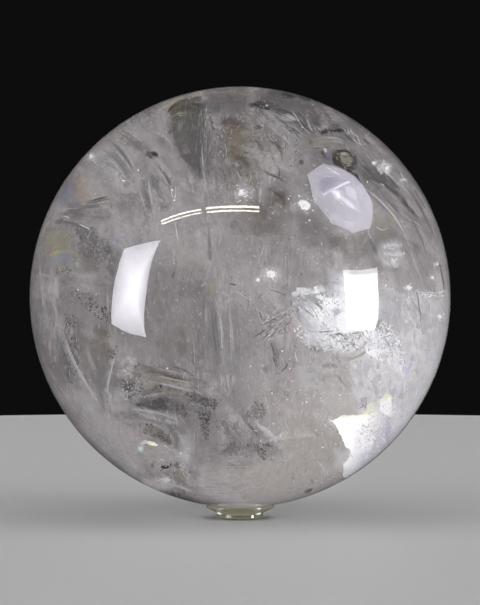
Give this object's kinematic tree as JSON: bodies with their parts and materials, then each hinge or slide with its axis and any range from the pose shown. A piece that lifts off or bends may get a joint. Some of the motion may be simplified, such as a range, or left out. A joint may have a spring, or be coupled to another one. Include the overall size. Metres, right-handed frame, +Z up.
{
  "type": "quartz sphere on a ring stand",
  "caption": "Polished rock-crystal sphere with veils and fractures inside, resting on a small clear flared ring stand.",
  "frame": {"origin": "on the surface that the ring stand stands on, straight below the sphere's centre", "axes": "+Z up through the sphere's centre; -Y is the side of the stone that shows best"},
  "size_m": [0.12, 0.12, 0.123],
  "materials": {
    "quartz": "polished",
    "clear_ring": "gloss"
  },
  "bodies": {
    "root": {"quartz_sphere": "quartz", "ring_stand": "clear_ring"}
  },
  "joints": []
}
